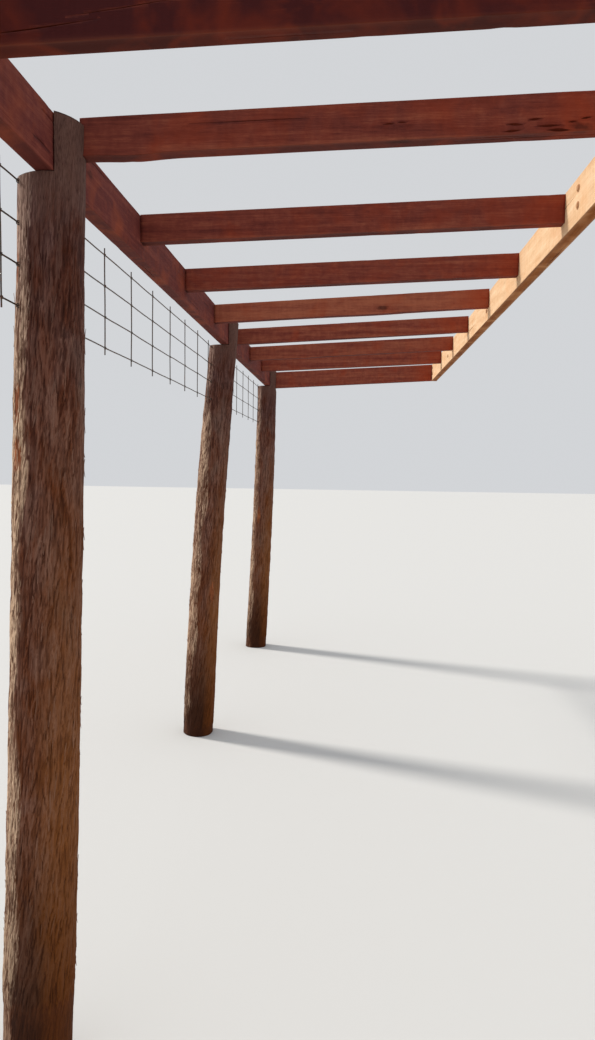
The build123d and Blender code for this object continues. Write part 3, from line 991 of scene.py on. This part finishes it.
for number in range(1, 13):
    node = f"rafter_{number:02d}"
    rng = np.random.default_rng(200 + number)
    board = Board(node, 0)
    seen = seen_splits.get(node, [])
    whole_sides = {board_sides[side] for side, *_ in seen}
    if node in rafter_tones_and_shade:
        whole_sides.add(board_sides["near"])
    wedges = drying_splits(rng, board, whole_sides)
    for side, half_width, depth, path in seen:
        wedges.append(split(board, board_sides[side], path, half_width, depth))
    piece, cutter = build_board(
        rng, board, f"sawn_{node}", rafter_stations, rafter_wood, wedges,
        rafter_bellies.get(node), rafter_tones_and_shade.get(node))
    settle(piece, cutter)
    hand_over(piece, "rafter_timber", node)

# M12 bolts with hexagon heads and wide washers hold the ledger from its open side. They are
# dull steel with rust on it. One bolt is modelled, and the others are copies of it that have
# their own turn. A round form's profile is its places along X and its radii, in metres.
washer_profile = [(-0.0016, 0.0060), (-0.0016, 0.0127), (-0.0013, 0.0130), (0.0000, 0.0130)]
shank_profile = [(-0.0017, 0.0060), (0.0460, 0.0060)]
hexagon_profile = [(-0.0046, 0.0080), (-0.0038, 0.0098), (-0.0016, 0.0098)]


def steel_finish(name, plain, rusty, rust_share):
    """Dull weathered steel that is stained with rust over some share of it."""
    finish, tree, shader = new_finish(name, 0.62, 0.4)
    stain = streaks(tree, object_place(tree), (1.0, 1.0, 1.0), 130.0, 4.0)
    rust = ranged(tree, stain, 0.62 - 0.3 * rust_share, 0.72 - 0.3 * rust_share)
    tree.links.new(mixed(tree, rust, plain, rusty), shader.inputs["Base Color"])
    tree.links.new(ranged(tree, rust, 0.0, 1.0, 0.75, 0.05), shader.inputs["Metallic"])
    tree.links.new(ranged(tree, rust, 0.0, 1.0, 0.50, 0.92), shader.inputs["Roughness"])
    roughen(tree, shader, stain, 0.4, 0.0006)
    return finish


tree = place_copies = bpy.data.node_groups.new("place_copies", "GeometryNodeTree")
given = tree_inputs(
    tree, ("Geometry", "Geometry", None), ("Copy Of", "Object", None), ("Seed", "Int", 1),
    ("Most Turn", "Float", 6.3), ("Finish", "Material", None))
shape = put(tree, "GeometryNodeObjectInfo", {0: given["Copy Of"]}).outputs["Geometry"]
own_turn = turned_about_x(tree, random_number(tree, 0.0, given["Most Turn"], given["Seed"]))
copies = put(tree, "GeometryNodeInstanceOnPoints", {
    "Points": given["Geometry"], "Instance": shape, "Rotation": own_turn}).outputs[0]
copies = put(tree, "GeometryNodeRealizeInstances", {0: copies}).outputs[0]
copies = put(tree, "GeometryNodeSetMaterial", {"Geometry": copies, "Material": given["Finish"]}).outputs[0]
put(tree, "NodeGroupOutput", {0: copies})


def copy_to(name, pattern, places, seed, finish):
    """One piece of copies of a pattern at some places, each with its own turn about X."""
    mesh = bpy.data.meshes.new(name)
    mesh.from_pydata([tuple(place) for place in places], [], [])
    piece = new_piece(name, mesh, finish)
    run_tree(piece, place_copies, copy_of=pattern, seed=seed, finish=finish)
    return settle(piece, pattern)


bolt_steel = steel_finish("bolt_steel", colour(172, 152, 130), colour(186, 138, 98), 1.0)
bolt_pattern = ringed_piece(
    "bolt_pattern", bolt_steel, round_form(washer_profile, 28), round_form(shank_profile, 20),
    round_form(hexagon_profile, 6))
on_ledger = [(ledger_face_x, place[1], place[2]) for place in bolt_places]
bolts = copy_to("ledger_bolts", bolt_pattern, on_ledger, 5, bolt_steel)
hand_over(bolts, "netting_wire")

# Steel batten screws go through the beam from its outer side, two into the end of each rafter
# that isn't housed in a log and four into each log. Their heads are just sunk in the wood.
screw_profile = [
    (0.0012, 0.0028), (-0.0002, 0.0030), (-0.0004, 0.0066), (0.0004, 0.0068), (0.0040, 0.0026), (0.0100, 0.0022)]
rafter_screws_below, rafter_screw_spread = 0.05, 0.026
log_screws_up, log_screw_spread = (-0.1, -0.04), 0.035
screw_steel = steel_finish("screw_steel", colour(122, 106, 94), colour(106, 66, 44), 0.6)
screw_places = []
for number in range(1, 13):
    if f"rafter_{number:02d}" not in housed_rafters.values():
        low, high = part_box(f"rafter_{number:02d}")
        middle_y = (low.y + high.y) / 2.0
        for side in (-1.0, 1.0):
            up = beam_high.z - rafter_screws_below + side * rafter_screw_spread
            screw_places.append((beam_low.x, middle_y, up))
for form in forms:
    for side in (-1.0, 1.0):
        for up in log_screws_up:
            screw_places.append((beam_low.x, form.head[1] + side * log_screw_spread, beam_high.z + up))
screw_pattern = ringed_piece("screw_pattern", screw_steel, round_form(screw_profile, 14))
screws = copy_to("beam_screws", screw_pattern, screw_places, 6, screw_steel)
hand_over(screws, "netting_wire")

# Steel wire netting runs along the posts' outer sides: line wires from log to log and upright
# stays, with a tight wrap of thinner wire round each crossing. The wires sag and bend a little.
wire_grip = 0.005
stay_stand_off, tie_stand_off = 0.6, 0.3
wire_steel = steel_finish("wire_steel", colour(92, 88, 84), colour(98, 66, 46), 0.4)


def bent(tree, geometry, bend):
    """Moves the wires and their ties by one smooth noise, so that they stay together."""
    spot = put(tree, "GeometryNodeInputPosition").outputs[0]
    noise = put(tree, "ShaderNodeTexNoise", {"Vector": spot, "Scale": 3.2, "Detail": 2.0}).outputs["Color"]
    middled = put(tree, "ShaderNodeVectorMath", {0: noise, 1: (0.5, 0.5, 0.5)}, operation="SUBTRACT").outputs[0]
    offset = put(tree, "ShaderNodeVectorMath", {0: middled, "Scale": bend}, operation="SCALE").outputs[0]
    return put(tree, "GeometryNodeSetPosition", {"Geometry": geometry, "Offset": offset}).outputs[0]


def swept(tree, line, sides, radius):
    """A round wire of a few sides along a curve, closed at its ends."""
    profile = put(tree, "GeometryNodeCurvePrimitiveCircle", {"Resolution": sides, "Radius": radius}).outputs[0]
    return put(tree, "GeometryNodeCurveToMesh", {0: line, 1: profile, "Fill Caps": True}).outputs[0]


tree = wire_netting = bpy.data.node_groups.new("wire_netting", "GeometryNodeTree")
given = tree_inputs(
    tree, ("Geometry", "Geometry", None), ("Wire Radius", "Float", 0.0023), ("Bend", "Float", 0.006),
    ("Tie Radius", "Float", 0.0012), ("Finish", "Material", None))
lines = put(tree, "GeometryNodeMeshToCurve", {0: given["Geometry"]}).outputs[0]
lines = put(tree, "GeometryNodeResampleCurve", {0: lines, "Length": 0.028}, mode="LENGTH").outputs[0]
wires = swept(tree, bent(tree, lines, given["Bend"]), 7, given["Wire Radius"])

# The points that no line starts from are the crossings, and each gets its own coil.
lines_there = put(tree, "GeometryNodeInputMeshVertexNeighbors").outputs[0]
is_lone = put(tree, "FunctionNodeCompare", {2: lines_there, 3: 0}, data_type="INT", operation="EQUAL").outputs[0]
crossings = put(tree, "GeometryNodeMeshToPoints", {0: given["Geometry"], "Selection": is_lone}).outputs[0]
coil = put(tree, "GeometryNodeCurveSpiral", {
    "Resolution": 11, "Rotations": 2.2, "Start Radius": 0.0034, "End Radius": 0.0034, "Height": 0.0075}).outputs[0]
tie = swept(tree, coil, 5, given["Tie Radius"])
tie = put(tree, "GeometryNodeTransform", {"Geometry": tie, "Translation": (0.0, 0.0, -0.0037)}).outputs[0]
tilt = turned_about_x(tree, random_number(tree, -0.5, 0.5, 2))
ties = put(tree, "GeometryNodeInstanceOnPoints", {
    "Points": bent(tree, crossings, given["Bend"]), "Instance": tie, "Rotation": tilt}).outputs[0]
ties = put(tree, "GeometryNodeRealizeInstances", {0: ties}).outputs[0]
smooth = put(tree, "GeometryNodeSetShadeSmooth", {0: joined(tree, ties, wires)}).outputs[0]
finished = put(tree, "GeometryNodeSetMaterial", {"Geometry": smooth, "Material": given["Finish"]}).outputs[0]
put(tree, "NodeGroupOutput", {0: finished})


def grouped(places, gap=0.05):
    """The middle of each group of places that stands further than a gap from the next."""
    places = np.unique(np.round(places, 4))
    return [group.mean() for group in np.split(places, np.flatnonzero(np.diff(places) > gap) + 1)]


wire_ends = []
for number in (1, 2, 3):
    node = f"netting_{number}"
    corners = corner_points(frame["nodes"][node].data)
    middle_x = (corners[:, 0].min() + corners[:, 0].max()) / 2.0
    wire_radius = (corners[:, 0].max() - corners[:, 0].min()) / 2.0
    stay_top, stay_bottom = corners[:, 2].max(), corners[:, 2].min()
    stays = grouped(corners[corners[:, 2] > stay_top - 0.001, 1])
    wires = grouped(corners[corners[:, 1] < corners[:, 1].min() + 0.03, 2])
    points, edges = [], []
    for wire_z in wires:
        own = corners[np.abs(corners[:, 2] - wire_z) < 2.0 * wire_radius]
        wire_start, wire_end = own[:, 1].min(), own[:, 1].max()
        edges.append((len(points), len(points) + 1))
        points.append((middle_x, wire_start - wire_grip, wire_z))
        points.append((middle_x, wire_end + wire_grip, wire_z))
        wire_ends.append((forms[number - 1], np.array((middle_x, wire_start + wire_grip, wire_z))))
        wire_ends.append((forms[number], np.array((middle_x, wire_end - wire_grip, wire_z))))
    for stay_y in stays:
        edges.append((len(points), len(points) + 1))
        points.append((middle_x - stay_stand_off * wire_radius, stay_y, stay_bottom))
        points.append((middle_x - stay_stand_off * wire_radius, stay_y, stay_top))
    points += [(middle_x - tie_stand_off * wire_radius, stay_y, wire_z) for wire_z in wires for stay_y in stays]
    mesh = bpy.data.meshes.new(f"wire_{node}")
    mesh.from_pydata(points, edges, [])
    piece = new_piece(f"wire_{node}", mesh, wire_steel)
    run_tree(piece, wire_netting, wire_radius=wire_radius, finish=wire_steel)
    settle(piece)
    hand_over(piece, "netting_wire", node)

# Bent staples of thick wire hold the end of each line wire to its log, with a leg driven into
# the bark above and below it.
staple_wire, staple_span, staple_bow, staple_depth = 0.0016, 0.0052, 0.0042, 0.020
staple_sides = 6


def staple(place, into):
    """Rings round a bent staple whose legs go into the log above and below a wire."""
    bow = [
        (-staple_span * math.cos(turn), -staple_bow * math.sin(turn)) for turn in np.linspace(0.0, math.pi, 9)]
    legs_and_bow = [(-staple_span, staple_depth)] + bow + [(staple_span, staple_depth)]
    line = np.array([place + (0.0, 0.0, up) + into * deep for up, deep in legs_and_bow])
    ways = np.gradient(line, axis=0)
    ways /= np.linalg.norm(ways, axis=1)[:, None]
    side = np.cross(into, (0.0, 0.0, 1.0))
    turns = np.linspace(0.0, 2.0 * math.pi, staple_sides, endpoint=False)[:, None]
    return np.array([
        middle + staple_wire * (np.cos(turns) * side + np.sin(turns) * np.cross(way, side))
        for middle, way in zip(line, ways)
    ])


staples = []
for form, place in wire_ends:
    into = (form.middle(place[2]) - place) * (1.0, 1.0, 0.0)
    staples.append(staple(place, into / np.linalg.norm(into)))
hand_over(ringed_piece("wire_staples", wire_steel, *staples), "netting_wire")
